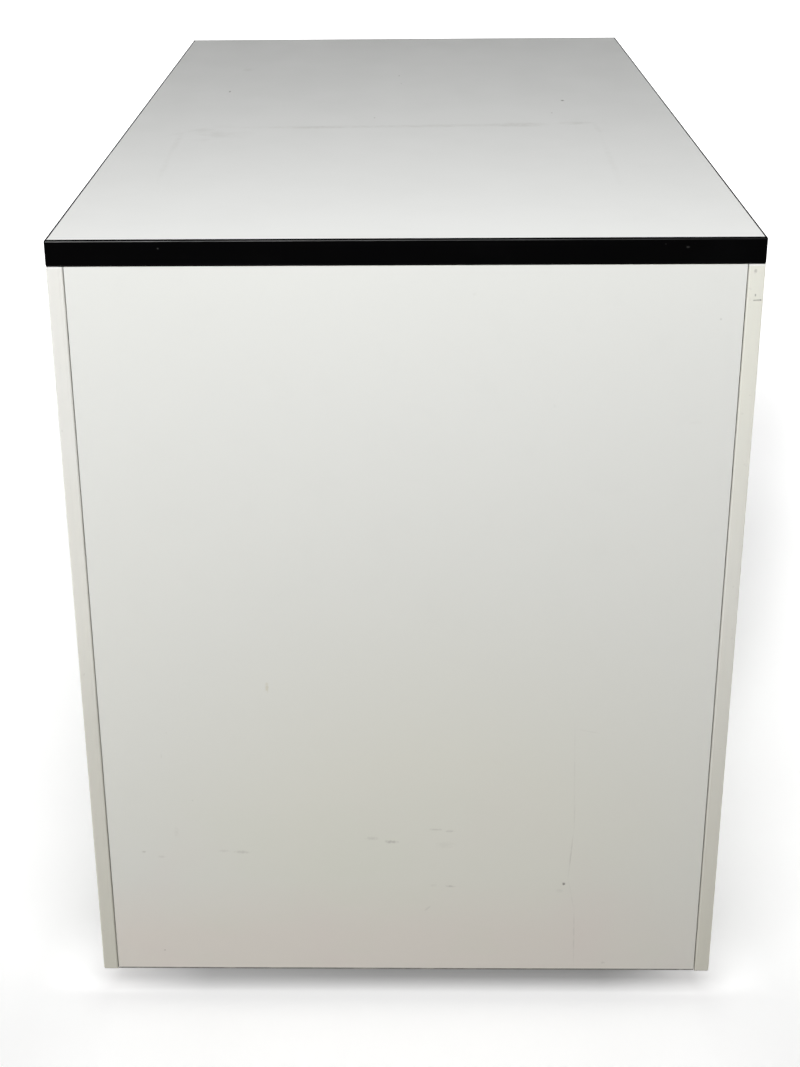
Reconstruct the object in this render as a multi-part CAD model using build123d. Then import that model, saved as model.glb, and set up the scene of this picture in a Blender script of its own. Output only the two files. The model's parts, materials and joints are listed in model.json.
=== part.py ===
from build123d import *
import os
from collections import namedtuple
from math import radians, sin, cos, sqrt

# Mobile office pedestal on casters, in millimetres.
# X is the width, +Y points to the plain back panel, +Z is up.
# The origin is on the floor, under the middle of the top.

# Overall sizes
WIDTH = 420.0            # across the top and the side panels
DEPTH = 800.0            # front edge of the top to the back panel
BODY_HEIGHT = 518.0      # top surface down to the lower edge of the side panels
FLOOR_GAP = 25.0         # floor to the lower edge of the side panels

# Boards and their edge bands
SIDE_BOARD = 16.0
BOTTOM_BOARD = 16.0
TOP_BOARD = 16.0
BACK_BOARD = 8.0
EDGE_BAND = 1.5          # thickness of every plastic edge band
EDGE_ROUND = 1.3         # rounding of the outer corners of the bands
STRIP = 10.0             # side panel edge that shows beside the back panel
BACK_SIDE_GAP = 0.6      # seam between the back panel and each strip
BACK_SET = 0.3           # back panel behind the edge bands
BACK_LIFT = 0.8          # lower edge of the back panel above the side panels' edge

# Drawer fronts and the fixed rail over them
FRONT_BOARD = 16.0
FRONT_SET = 2.0          # drawer fronts behind the front edge of the top
CLOSE_GAP = 2.0          # drawer front to the carcass when shut
FRONT_GAP = 3.0          # between two fronts
FRONT_REVEAL = 1.5       # drawer front inside the outer face of the side panel
FRONT_DROP = 3.0         # lowest front above the side panels' lower edge
FRONT_ROUND = 1.2
LOCK_RAIL_HEIGHT = 40.0
PENCIL_FRONT = 54.0
MIDDLE_FRONT = 96.0

# Folded steel drawer boxes
BOX_REAR_GAP = 73.7      # free depth between the boxes and the back panel
BOX_STEEL = 1.0
BOX_BEND = 1.5           # inner radius of the folds
BOX_HEM = 6.0            # inward fold along the top of the side walls
BOX_RISE = 6.0           # underside of the box above the lower edge of its front
BOX_TOP_DROP = 4.0       # top of the box below the upper edge of its front
FILE_TOP_DROP = 10.0     # the same on the file drawer, under the file tabs
FILE_FLOOR_GAP = 5.0     # file drawer box above the bottom panel
END_FLANGE = 12.0        # folds of the box ends, welded to the side walls

# Three-part telescopic slides, as long as the boxes
SLIDE_GAP = 12.7         # side panel to drawer box
SLIDE_HEIGHT = 36.0
SLIDE_HOLD = 20.0        # a full pull is this much shorter than the slide
SLIDE_SET = 2.0          # slide behind the front edge of the carcass
SLIDE_RISE = 16.0        # centre line of the slide above the underside of the box
RAIL_STEEL = 1.2
RAIL_CLEAR = 0.3         # running gap between nested rails
OUTER_RAIL_DEPTH = 9.0
MIDDLE_RAIL_START = 3.4  # web of the middle rail from the side panel
MIDDLE_RAIL_DEPTH = 6.2
INNER_RAIL_DEPTH = 6.7

# Screws
SCREW_R = 2.0
SCREW_LENGTH = 12.0
SCREW_HEAD_R = 3.8
SCREW_HEAD = 2.0
HEAD_ROUND = 0.8
RECESS_SPAN = 4.4        # cross recess in every screw head
RECESS_WIDTH = 0.9
RECESS_DEPTH = 0.9
RAIL_SCREW_HEAD = 1.4    # flat heads that stay clear of the middle rail
RAIL_SCREW_INSET = 48.0  # first and last screw from the ends of the rail
HOLE_CLEAR = 0.1         # radial room round a screw shank
FRONT_SCREW_X = 140.0
FRONT_SCREW_INSET = 12.0
FRONT_SCREW_LENGTH = 10.0

# Eccentric connectors in the boards
CAM_R = 7.5
CAM_DEPTH = 12.5
CAM_SETBACK = 24.0
CAM_SLOT = 1.4
CAM_SLOT_DEPTH = 2.0
CAM_CLEAR = 0.1
BOLT_R = 3.0
BOLT_GRIP = 11.0         # length of the bolt in the mating board
TOP_CONNECTOR_INSET = 100.0
BOTTOM_CONNECTOR_INSET = 150.0

# Recessed pulls
GRIP_WIDTH = 132.0
GRIP_HEIGHT = 36.0
GRIP_BORDER = 9.0        # flange round the cup
GRIP_FLANGE = 1.0
GRIP_WALL = 1.6
GRIP_DEPTH = 15.0
GRIP_LIP = 8.0           # lip that hangs over the cup, for the fingers to hook
GRIP_CLEAR = 0.3
GRIP_CORNER = 5.0
GRIP_CUP_ROUND = 3.0     # corners inside the cup
GRIP_TOP_INSET = 9.0     # flange below the upper edge of the front

# Central lock
LOCK_INSET = 40.0        # lock axis from the outer face of the right side panel
HOUSING_R = 9.0
HOUSING_FLANGE_R = 11.5
HOUSING_FLANGE = 1.2
HOUSING_TAIL = 5.0       # housing behind the rail
PLUG_R = 6.0
PLUG_CLEAR = 0.05
PLUG_SET = 0.3           # plug face behind the flange of the housing
KEYWAY_WIDTH = 1.4
KEYWAY_HEIGHT = 7.5
KEYWAY_DEPTH = 8.0
PLUG_NECK = 5.0          # square end that carries the cam
NECK_CLEAR = 0.02
CAM_PLATE = 2.5
CAM_PLATE_GAP = 0.5
CAM_DISC_R = 6.5
CAM_NOSE_R = 4.0
CAM_ARM = 6.0            # lock axis to the driving pin
DRIVE_PIN_R = 2.0
DRIVE_PIN_LENGTH = 5.5
DRIVE_CLEAR = 0.5        # room for the pin in the slot of the bar
BAR_WIDTH = 12.0
BAR_THICK = 4.4
BAR_CLEAR = 0.3
BAR_SET = 9.5            # bar behind the front edge of the carcass
TAB_THICK = 2.5
TAB_HALF = 6.0
TAB_END = 5.0            # metal beyond the slot
LOCK_PIN_R = 3.0
LOCK_PIN_FIT = 0.02      # pins pressed into the bar
LOCK_PIN_CHAMFER = 0.5
LOCK_PIN_REACH = 8.0
LOCK_PIN_LIFT = 2.0      # free pins above the catches
CATCH_RISE = 2.0         # catch above its slide
CATCH_HEIGHT = 7.0
CATCH_REACH = 9.0
CATCH_LENGTH = 16.0
CATCH_PLAY = 0.7         # pull of a locked drawer

# Pen tray and file rails
TRAY_DEPTH = 180.0
TRAY_HEIGHT = 32.0
TRAY_WALL = 2.0
TRAY_CLEAR = 0.3
TRAY_TROUGH = 52.0       # each of the two pen troughs, front to back
TRAY_CORNER = 5.0
TRAY_CUPS = 3
FILE_RAIL_SPAN = 327.0   # centre to centre, for hanging files
FILE_RAIL_THICK = 2.0
FILE_RAIL_HEIGHT = 14.0

# Twin-wheel casters
CASTER_HEIGHT = 52.0
CASTER_INSET_X = 65.0
CASTER_INSET_Y = 70.0
WHEEL_R = 20.0
WHEEL_WIDTH = 11.0
WHEEL_ROUND = 2.0
WHEEL_GAP = 0.4          # wheel to the web of the fork
WHEEL_DISH = 2.5
WHEEL_RIM = 4.0
WHEEL_HUB_R = 6.0
TRAIL = 18.0             # swivel axis to axle
AXLE_R = 3.0
AXLE_CLEAR = 0.05
AXLE_FIT = 0.02
FORK_WEB = 12.0
FORK_ROUND_R = 10.0
WELL_CLEAR = 1.0
HOOD_WALL = 2.0
HOOD_ROUND = 1.2
HOOD_LOW = 26.0          # lowest point of the hood over the wheels
CAP_R = 13.0
CAP_LOW = 30.0
PLATE_SIDE = 50.0
PLATE_THICK = 2.5
PLATE_CORNER = 5.0
PLATE_HOLES = 38.0
CUP_R = 12.0
CUP_HEIGHT = 3.2
SWIVEL_GAP = 0.3
KINGPIN_R = 4.0
KINGPIN_NECK_R = 3.0
KINGPIN_LENGTH = 19.0
KINGPIN_END_GAP = 0.5

# How the casters stand after some pushing about, in degrees from trailing towards the back
CASTER_TURN = {"front_left": 35.0, "front_right": -60.0, "rear_left": 80.0, "rear_right": -15.0}

# Levels and faces that the pieces share
half_width = WIDTH / 2
half_depth = DEPTH / 2
top_z = FLOOR_GAP + BODY_HEIGHT
carcass_top = top_z - TOP_BOARD
side_in = half_width - SIDE_BOARD
strip_in = half_width - STRIP
front_face_y = -half_depth + FRONT_SET
front_back_y = front_face_y + FRONT_BOARD
carcass_front_y = front_back_y + CLOSE_GAP
back_rear_y = half_depth - BACK_SET
back_front_y = back_rear_y - BACK_BOARD
bottom_low = CASTER_HEIGHT
bottom_high = bottom_low + BOTTOM_BOARD
rail_low = carcass_top - LOCK_RAIL_HEIGHT
box_half = side_in - SLIDE_GAP
box_length = back_front_y - BOX_REAR_GAP - front_back_y
slide_length = box_length
slide_front_y = carcass_front_y + SLIDE_SET
travel = slide_length - SLIDE_HOLD
lock_x = half_width - LOCK_INSET
lock_z = (rail_low + carcass_top) / 2
lock_throw = CAM_ARM * sqrt(2)
bar_y = carcass_front_y + BAR_SET
bar_low_x = side_in + BAR_CLEAR
bar_high_x = bar_low_x + BAR_THICK

# Heights of one drawer: its front, its box, its slide and its catch
Drawer = namedtuple("Drawer", "name front_low front_high box_low box_high slide_z catch_low")


def drawer_levels(name, front_low, front_high, box_low, box_high):
    slide_z = box_low + SLIDE_RISE
    catch_low = slide_z + SLIDE_HEIGHT / 2 + CATCH_RISE
    return Drawer(name, front_low, front_high, box_low, box_high, slide_z, catch_low)


pencil_high = rail_low - FRONT_GAP
pencil_low = pencil_high - PENCIL_FRONT
middle_high = pencil_low - FRONT_GAP
middle_low = middle_high - MIDDLE_FRONT
file_high = middle_low - FRONT_GAP
file_low = FLOOR_GAP + FRONT_DROP
pencil = drawer_levels("pencil", pencil_low, pencil_high, pencil_low + BOX_RISE, pencil_high - BOX_TOP_DROP)
middle = drawer_levels("middle", middle_low, middle_high, middle_low + BOX_RISE, middle_high - BOX_TOP_DROP)
file = drawer_levels("file", file_low, file_high, bottom_high + FILE_FLOOR_GAP, file_high - FILE_TOP_DROP)
drawers = (pencil, middle, file)


def block(x_span, y_span, z_span):
    """A box from the lower to the upper value along each axis."""
    size = [high - low for low, high in (x_span, y_span, z_span)]
    middle_point = [(low + high) / 2 for low, high in (x_span, y_span, z_span)]
    return Pos(*middle_point) * Box(*size)


def rod_x(radius, x_span, y, z):
    return Pos((x_span[0] + x_span[1]) / 2, y, z) * Rot(0, 90, 0) * Cylinder(radius, x_span[1] - x_span[0])


def rod_y(radius, x, y_span, z):
    return Pos(x, (y_span[0] + y_span[1]) / 2, z) * Rot(90, 0, 0) * Cylinder(radius, y_span[1] - y_span[0])


def rod_z(radius, x, y, z_span):
    return Pos(x, y, (z_span[0] + z_span[1]) / 2) * Cylinder(radius, z_span[1] - z_span[0])


def mirrored(shape):
    return mirror(shape, about=Plane.YZ)


def group(shapes):
    """Several separate solids as one sub-part."""
    return Compound([solid for shape in shapes for solid in shape.solids()])


def save(name, shape):
    export_step(shape, f"parts/{name}.step")


# Eccentric connectors: a cam in the face of one board pulls a bolt in the edge of the next.
# Their own frame has the bolt along +Z into the mating board and the cam's open face towards +X.

def connector_frames():
    """Two joints at the top and two at the bottom of each side panel."""
    frames = []
    for side in (-1, 1):
        for end in (-1, 1):
            top_y = end * (half_depth - TOP_CONNECTOR_INSET)
            top_origin = (side * (side_in + SIDE_BOARD / 2), top_y, carcass_top)
            frames.append(("top", side, Plane(top_origin, x_dir=(-side, 0, 0), z_dir=(0, 0, 1))))
            bottom_y = end * (half_depth - BOTTOM_CONNECTOR_INSET)
            bottom_origin = (side * side_in, bottom_y, bottom_low + BOTTOM_BOARD / 2)
            frames.append(("bottom", side, Plane(bottom_origin, x_dir=(0, 0, -1), z_dir=(side, 0, 0))))
    return frames


def connector_board(kind):
    return SIDE_BOARD if kind == "top" else BOTTOM_BOARD


def connector_cam(kind, extra=0.0):
    face = connector_board(kind) / 2
    cam = rod_x(CAM_R + extra, (face - CAM_DEPTH - extra, face), 0, -CAM_SETBACK)
    if extra == 0.0:
        cam -= block((face - CAM_SLOT_DEPTH, face), (-CAM_SLOT / 2, CAM_SLOT / 2),
                     (-CAM_SETBACK - CAM_R * 0.7, -CAM_SETBACK + CAM_R * 0.7))
    return cam


def connector_bolt(extra=0.0):
    return rod_z(BOLT_R + extra, 0, 0, (-CAM_SETBACK + CAM_R + CAM_CLEAR, BOLT_GRIP + extra))


def connector_cutters(kinds, side=None):
    """Pockets and bores that the connectors need in the boards."""
    cutters = []
    for kind, frame_side, plane in connector_frames():
        if kind in kinds and side in (None, frame_side):
            cutters.append(plane.location * connector_bolt(CAM_CLEAR))
            cutters.append(plane.location * connector_cam(kind, CAM_CLEAR))
    return cutters


# Screws

def screw(length, head):
    """Screw along +Z: the shank from the origin upwards, the head with its cross recess under it."""
    cap = rod_z(SCREW_HEAD_R, 0, 0, (-head, 0))
    cap = fillet(cap.edges().sort_by(Axis.Z)[0], HEAD_ROUND)
    long_half = RECESS_SPAN / 2
    short_half = RECESS_WIDTH / 2
    z_span = (-head, -head + RECESS_DEPTH)
    cap -= block((-long_half, long_half), (-short_half, short_half), z_span)
    cap -= block((-short_half, short_half), (-long_half, long_half), z_span)
    return cap + rod_z(SCREW_R, 0, 0, (0, length))


def rail_screw_places():
    first = slide_front_y + RAIL_SCREW_INSET
    last = slide_front_y + slide_length - RAIL_SCREW_INSET
    return [(y, drawer.slide_z) for drawer in drawers for y in (first, (first + last) / 2, last)]


def rail_screw(y, z):
    """Screw from inside an outer rail into the right side panel."""
    seat = Plane((side_in - RAIL_STEEL, y, z), x_dir=(0, 1, 0), z_dir=(1, 0, 0))
    return seat.location * screw(SCREW_LENGTH + RAIL_STEEL, RAIL_SCREW_HEAD)


# Carcass

def side_panel(side):
    """Side panel on the right of the front view for side 1, and its mirror image for side -1."""
    panel = block((side_in, half_width), (carcass_front_y + EDGE_BAND, half_depth - EDGE_BAND),
                  (FLOOR_GAP, carcass_top))
    outer_low_edge = panel.edges().filter_by(Axis.Y).sort_by(lambda e: e.center().X - e.center().Z)[-1]
    panel = fillet(outer_low_edge, EDGE_ROUND)
    panel -= block((side_in, strip_in), (back_front_y, half_depth), (FLOOR_GAP, carcass_top))
    for y, z in rail_screw_places():
        panel -= rod_x(SCREW_R + HOLE_CLEAR, (side_in, side_in + SCREW_LENGTH + HOLE_CLEAR), y, z)
    if side > 0:
        panel -= bar_groove()
    else:
        panel = mirrored(panel)
    for cutter in connector_cutters(("top", "bottom"), side):
        panel -= cutter
    return panel


def bottom_panel():
    panel = block((-side_in, side_in), (carcass_front_y + EDGE_BAND, back_front_y),
                  (bottom_low, bottom_high))
    for cutter in connector_cutters(("bottom",)):
        panel -= cutter
    for x, y in caster_places():
        for dx, dy in plate_hole_places():
            panel -= rod_z(SCREW_R + HOLE_CLEAR, x + dx, y + dy, (bottom_low, bottom_low + SCREW_LENGTH))
    return panel


def back_panel():
    return block((-strip_in + BACK_SIDE_GAP, strip_in - BACK_SIDE_GAP), (back_front_y, back_rear_y),
                 (FLOOR_GAP + BACK_LIFT, carcass_top))


def top_panel():
    panel = block((-half_width + EDGE_BAND, half_width - EDGE_BAND),
                  (-half_depth + EDGE_BAND, half_depth - EDGE_BAND), (carcass_top, top_z))
    for cutter in connector_cutters(("top",)):
        panel -= cutter
    return panel


def top_bands():
    """Black bands round the top: front, rear, and the pair at the sides."""
    ring = block((-half_width, half_width), (-half_depth, half_depth), (carcass_top, top_z))
    ring = fillet(ring.edges(), EDGE_ROUND)
    ring -= block((-half_width + EDGE_BAND, half_width - EDGE_BAND),
                  (-half_depth + EDGE_BAND, half_depth - EDGE_BAND), (carcass_top, top_z))
    side_end = half_depth - EDGE_BAND
    span = (-half_width, half_width)
    levels = (carcass_top, top_z)
    front = ring & block(span, (-half_depth, -side_end), levels)
    rear = ring & block(span, (side_end, half_depth), levels)
    sides = ring & block(span, (-side_end, side_end), levels)
    return front, rear, sides


def panel_band(x_span, z_low, outer_y, inner_y):
    """Upright edge band whose outer face is at outer_y, with rounded outer corners."""
    band = block(x_span, (min(outer_y, inner_y), max(outer_y, inner_y)), (z_low, carcass_top))
    face = band.faces().filter_by(Axis.Y).sort_by(lambda f: abs(f.center().Y))[-1]
    rounded = [e for e in face.edges() if e.center().Z < carcass_top - EDGE_BAND]
    rounded += band.edges().filter_by(Axis.Y).sort_by(lambda e: e.center().X - e.center().Z)[-1:]
    return fillet(rounded, EDGE_ROUND)


def rear_edge_bands():
    band = panel_band((strip_in, half_width), FLOOR_GAP, half_depth, half_depth - EDGE_BAND)
    return group((band, mirrored(band)))


def front_edge_bands():
    inner_y = carcass_front_y + EDGE_BAND
    band = panel_band((side_in, half_width), FLOOR_GAP, carcass_front_y, inner_y)
    low_band = block((-side_in, side_in), (carcass_front_y, inner_y), (bottom_low, bottom_high))
    return group((band, mirrored(band), low_band))


def lock_rail():
    rail = block((-half_width + FRONT_REVEAL, half_width - FRONT_REVEAL), (front_face_y, carcass_front_y),
                 (rail_low, carcass_top))
    rail = fillet(rail.faces().sort_by(Axis.Y)[0].edges(), FRONT_ROUND)
    return rail - rod_y(HOUSING_R + HOLE_CLEAR, lock_x, (front_face_y, carcass_front_y), lock_z)


# Slides, built at the right side panel and mirrored to the left one

def rail(depth_span, half_height, web_outward, z):
    """C section along Y; depth_span is counted from the side panel towards the drawer."""
    x_low = side_in - depth_span[1]
    x_high = side_in - depth_span[0]
    y_span = (slide_front_y, slide_front_y + slide_length)
    section = block((x_low, x_high), y_span, (z - half_height, z + half_height))
    web_x = x_high if web_outward else x_low
    bends = [e for e in section.edges().filter_by(Axis.Y) if abs(e.center().X - web_x) < RAIL_STEEL / 2]
    section = fillet(bends, RAIL_STEEL * 0.8)
    x_span = (x_low, x_high - RAIL_STEEL) if web_outward else (x_low + RAIL_STEEL, x_high)
    inner_half = half_height - RAIL_STEEL
    return section - block(x_span, y_span, (z - inner_half, z + inner_half))


middle_half = SLIDE_HEIGHT / 2 - RAIL_STEEL - RAIL_CLEAR
inner_half = middle_half - RAIL_STEEL - RAIL_CLEAR


def slide_outer_rails():
    rails = []
    for drawer in drawers:
        outer = rail((0, OUTER_RAIL_DEPTH), SLIDE_HEIGHT / 2, True, drawer.slide_z)
        for y, z in rail_screw_places():
            if z == drawer.slide_z:
                outer -= rod_x(SCREW_R + HOLE_CLEAR, (side_in - RAIL_STEEL, side_in), y, z)
        rails += [outer, mirrored(outer)]
    return group(rails)


def slide_middle_rails(drawer):
    span = (MIDDLE_RAIL_START, MIDDLE_RAIL_START + MIDDLE_RAIL_DEPTH)
    middle_rail = rail(span, middle_half, True, drawer.slide_z)
    return group((middle_rail, mirrored(middle_rail)))


def slide_inner_rails(drawer):
    inner_rail = rail((SLIDE_GAP - INNER_RAIL_DEPTH, SLIDE_GAP), inner_half, False, drawer.slide_z)
    return group((inner_rail, mirrored(inner_rail)))


def slide_screws():
    screws = [rail_screw(y, z) for y, z in rail_screw_places()]
    return group(screws + [mirrored(screw) for screw in screws])


# Drawers

def grip_centre_z(drawer):
    return drawer.front_high - GRIP_TOP_INSET - GRIP_HEIGHT / 2


def grip_cup_sizes():
    return GRIP_WIDTH / 2 - GRIP_BORDER, GRIP_HEIGHT / 2 - GRIP_BORDER / 2


def front_screw_places(drawer):
    levels = (drawer.box_low + FRONT_SCREW_INSET, drawer.box_high - FRONT_SCREW_INSET)
    return [(x, z) for x in (-FRONT_SCREW_X, FRONT_SCREW_X) for z in levels]


def drawer_front(drawer):
    front = block((-half_width + FRONT_REVEAL, half_width - FRONT_REVEAL), (front_face_y, front_back_y),
                  (drawer.front_low, drawer.front_high))
    front = fillet(front.faces().sort_by(Axis.Y)[0].edges(), FRONT_ROUND)
    cup_x, cup_z = grip_cup_sizes()
    z = grip_centre_z(drawer)
    front -= block((-cup_x - GRIP_CLEAR, cup_x + GRIP_CLEAR), (front_face_y, front_back_y),
                   (z - cup_z - GRIP_CLEAR, z + cup_z + GRIP_CLEAR))
    for screw_x, screw_z in front_screw_places(drawer):
        front -= rod_y(SCREW_R + HOLE_CLEAR, screw_x,
                       (front_back_y - FRONT_SCREW_LENGTH - HOLE_CLEAR, front_back_y), screw_z)
    return front


def drawer_grip(drawer):
    """Moulded cup with a flange on the face of the front and a lip over its upper part."""
    cup_x, cup_z = grip_cup_sizes()
    z = grip_centre_z(drawer)
    flange_y = front_face_y - GRIP_FLANGE
    flange = block((-GRIP_WIDTH / 2, GRIP_WIDTH / 2), (flange_y, front_face_y),
                   (z - GRIP_HEIGHT / 2, z + GRIP_HEIGHT / 2))
    flange = fillet(flange.edges().filter_by(Axis.Y), GRIP_CORNER)
    cup = block((-cup_x, cup_x), (front_face_y, front_face_y + GRIP_DEPTH), (z - cup_z, z + cup_z))
    cup = fillet(cup.edges().filter_by(Axis.Y), GRIP_CUP_ROUND + GRIP_WALL)
    in_x = cup_x - GRIP_WALL
    in_z = cup_z - GRIP_WALL
    hollow = block((-in_x, in_x), (front_face_y + GRIP_WALL, front_face_y + GRIP_DEPTH - GRIP_WALL),
                   (z - in_z, z + in_z))
    hollow = fillet(hollow.edges().filter_by(Axis.Y), GRIP_CUP_ROUND)
    mouth = block((-in_x, in_x), (flange_y, front_face_y + GRIP_WALL), (z - in_z, z + in_z - GRIP_LIP))
    mouth = fillet(mouth.edges().filter_by(Axis.Y), GRIP_CUP_ROUND)
    return flange + cup - hollow - mouth


def drawer_shell(drawer):
    """Floor and side walls, folded from one sheet, with a hem along the top of each wall."""
    y_span = (front_back_y, front_back_y + box_length)
    sheet = block((-box_half, box_half), y_span, (drawer.box_low, drawer.box_high))
    low_edges = sheet.edges().filter_by(Axis.Y).sort_by(Axis.Z)[:2]
    sheet = fillet(low_edges, BOX_BEND + BOX_STEEL)
    in_x = box_half - BOX_STEEL
    hollow = block((-in_x, in_x), y_span, (drawer.box_low + BOX_STEEL, drawer.box_high - BOX_STEEL))
    inner_low_edges = hollow.edges().filter_by(Axis.Y).sort_by(Axis.Z)[:2]
    hollow = fillet(inner_low_edges, BOX_BEND)
    mouth_x = in_x - BOX_HEM
    mouth = block((-mouth_x, mouth_x), y_span, (drawer.box_low + BOX_BEND * 2, drawer.box_high))
    return sheet - hollow - mouth


def box_end(drawer, outer_y, inward):
    """End of a box with a fold along each side wall; inward is 1 at the front and -1 at the rear."""
    in_x = box_half - BOX_STEEL
    inner_y = outer_y + inward * BOX_STEEL
    fold_y = outer_y + inward * END_FLANGE
    z_span = (drawer.box_low + BOX_STEEL + BOX_BEND, drawer.box_high - BOX_STEEL)
    plate = block((-in_x, in_x), sorted((outer_y, fold_y)), z_span)
    bends = [e for e in plate.edges().filter_by(Axis.Z) if abs(e.center().Y - outer_y) < BOX_STEEL]
    plate = fillet(bends, BOX_STEEL)
    gap_x = in_x - BOX_STEEL
    plate -= block((-gap_x, gap_x), sorted((inner_y, fold_y)), z_span)
    foot_x = in_x - BOX_BEND
    foot = block((-foot_x, foot_x), sorted((outer_y, inner_y)), (drawer.box_low + BOX_STEEL, z_span[0]))
    return plate + foot


def drawer_ends(drawer):
    """Both ends of a box, welded between its side walls; the front one takes the screws of the front."""
    front_end = box_end(drawer, front_back_y, 1)
    for x, z in front_screw_places(drawer):
        front_end -= rod_y(SCREW_R + HOLE_CLEAR, x, (front_back_y, front_back_y + BOX_STEEL), z)
    return group((front_end, box_end(drawer, front_back_y + box_length, -1)))


def drawer_catch(drawer):
    """Block on the right wall that the pin of the lock bar drops in front of."""
    catch_y = bar_y + BAR_WIDTH / 2 + LOCK_PIN_R + CATCH_PLAY
    catch = block((box_half, box_half + CATCH_REACH), (catch_y, catch_y + CATCH_LENGTH),
                  (drawer.catch_low, drawer.catch_low + CATCH_HEIGHT))
    tail = [e for e in catch.edges().filter_by(Axis.Z)
            if e.center().X > box_half + CATCH_REACH / 2 and e.center().Y > catch_y + CATCH_LENGTH / 2]
    return chamfer(tail, CATCH_REACH / 2)


def front_screws(drawer):
    """Screws from inside the box into the drawer front."""
    screws = []
    for x, z in front_screw_places(drawer):
        seat = Plane((x, front_back_y + BOX_STEEL, z), x_dir=(1, 0, 0), z_dir=(0, -1, 0))
        screws.append(seat.location * screw(FRONT_SCREW_LENGTH + BOX_STEEL, SCREW_HEAD))
    return group(screws)


def pen_tray():
    """Tray with two long troughs and a row of cups behind them."""
    outer_x = box_half - BOX_STEEL - BOX_HEM - TRAY_CLEAR
    front_y = front_back_y + BOX_STEEL + SCREW_HEAD + TRAY_CLEAR
    floor_z = pencil.box_low + BOX_STEEL
    tray = block((-outer_x, outer_x), (front_y, front_y + TRAY_DEPTH), (floor_z, floor_z + TRAY_HEIGHT))
    tray = fillet(tray.edges().filter_by(Axis.Z), TRAY_CORNER)
    in_x = outer_x - TRAY_WALL
    z_span = (floor_z + TRAY_WALL, floor_z + TRAY_HEIGHT)
    for index in range(2):
        y = front_y + TRAY_WALL + index * (TRAY_TROUGH + TRAY_WALL)
        tray -= rounded_pocket((-in_x, in_x), (y, y + TRAY_TROUGH), z_span)
    cup_y = front_y + TRAY_WALL + 2 * (TRAY_TROUGH + TRAY_WALL)
    cup_width = (2 * in_x - (TRAY_CUPS - 1) * TRAY_WALL) / TRAY_CUPS
    for index in range(TRAY_CUPS):
        x = -in_x + index * (cup_width + TRAY_WALL)
        tray -= rounded_pocket((x, x + cup_width), (cup_y, front_y + TRAY_DEPTH - TRAY_WALL), z_span)
    return tray


def rounded_pocket(x_span, y_span, z_span):
    pocket = block(x_span, y_span, z_span)
    return fillet(pocket.edges().filter_by(Axis.Z), TRAY_CORNER - TRAY_WALL)


def file_rails():
    y_span = (front_back_y + BOX_STEEL, front_back_y + box_length - BOX_STEEL)
    x = FILE_RAIL_SPAN / 2
    hanger = block((x - FILE_RAIL_THICK / 2, x + FILE_RAIL_THICK / 2), y_span,
                   (file.box_high - FILE_RAIL_HEIGHT, file.box_high))
    return group((hanger, mirrored(hanger)))


# Central lock

def lock_housing():
    tube = rod_y(HOUSING_R, lock_x, (front_face_y, carcass_front_y + HOUSING_TAIL), lock_z)
    flange = rod_y(HOUSING_FLANGE_R, lock_x, (front_face_y - HOUSING_FLANGE, front_face_y), lock_z)
    flange = fillet(flange.edges().sort_by(Axis.Y)[0], HOUSING_FLANGE / 2)
    bore = rod_y(PLUG_R + PLUG_CLEAR, lock_x,
                 (front_face_y - HOUSING_FLANGE, carcass_front_y + HOUSING_TAIL), lock_z)
    return tube + flange - bore


def lock_plug():
    face_y = front_face_y - HOUSING_FLANGE + PLUG_SET
    tail_y = carcass_front_y + HOUSING_TAIL
    plug = rod_y(PLUG_R, lock_x, (face_y, tail_y), lock_z)
    half_neck = PLUG_NECK / 2
    plug += block((lock_x - half_neck, lock_x + half_neck), (tail_y, cam_front_y + CAM_PLATE),
                  (lock_z - half_neck, lock_z + half_neck))
    keyway = block((lock_x - KEYWAY_WIDTH / 2, lock_x + KEYWAY_WIDTH / 2), (face_y, face_y + KEYWAY_DEPTH),
                   (lock_z - KEYWAY_HEIGHT / 2, lock_z + KEYWAY_HEIGHT / 2))
    return plug - keyway


cam_front_y = carcass_front_y + HOUSING_TAIL + CAM_PLATE_GAP
drive_x = lock_x + CAM_ARM * cos(radians(45))
drive_z = lock_z + CAM_ARM * sin(radians(45))


def lock_cam():
    """Cam plate on the square end of the plug, with the pin that moves the bar."""
    cam_back_y = cam_front_y + CAM_PLATE
    y_span = (cam_front_y, cam_back_y)
    cam = rod_y(CAM_DISC_R, lock_x, y_span, lock_z) + rod_y(CAM_NOSE_R, drive_x, y_span, drive_z)
    cam += rod_y(DRIVE_PIN_R, drive_x, (cam_front_y, cam_back_y + DRIVE_PIN_LENGTH), drive_z)
    half_hole = PLUG_NECK / 2 + NECK_CLEAR
    return cam - block((lock_x - half_hole, lock_x + half_hole), y_span,
                       (lock_z - half_hole, lock_z + half_hole))


def lock_pin_z(drawer):
    return drawer.catch_low + CATCH_HEIGHT + LOCK_PIN_LIFT + LOCK_PIN_R


bar_low_z = lock_pin_z(file) - 2 * LOCK_PIN_R
bar_high_z = drive_z + TAB_HALF


def bar_groove():
    return block((side_in, side_in + BAR_THICK + 2 * BAR_CLEAR),
                 (bar_y - BAR_CLEAR, bar_y + BAR_WIDTH + BAR_CLEAR),
                 (bar_low_z - lock_throw - LOCK_PIN_LIFT, bar_high_z + LOCK_PIN_LIFT))


def lock_pin(drawer, extra=0.0):
    """Pin through the lock bar, with a chamfered free end that stands before the catch of a drawer."""
    x_span = (bar_low_x - LOCK_PIN_REACH, bar_high_x)
    pin = rod_x(LOCK_PIN_R + extra, x_span, bar_y + BAR_WIDTH / 2, lock_pin_z(drawer))
    return chamfer(pin.edges().sort_by(Axis.X)[0], LOCK_PIN_CHAMFER)


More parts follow.
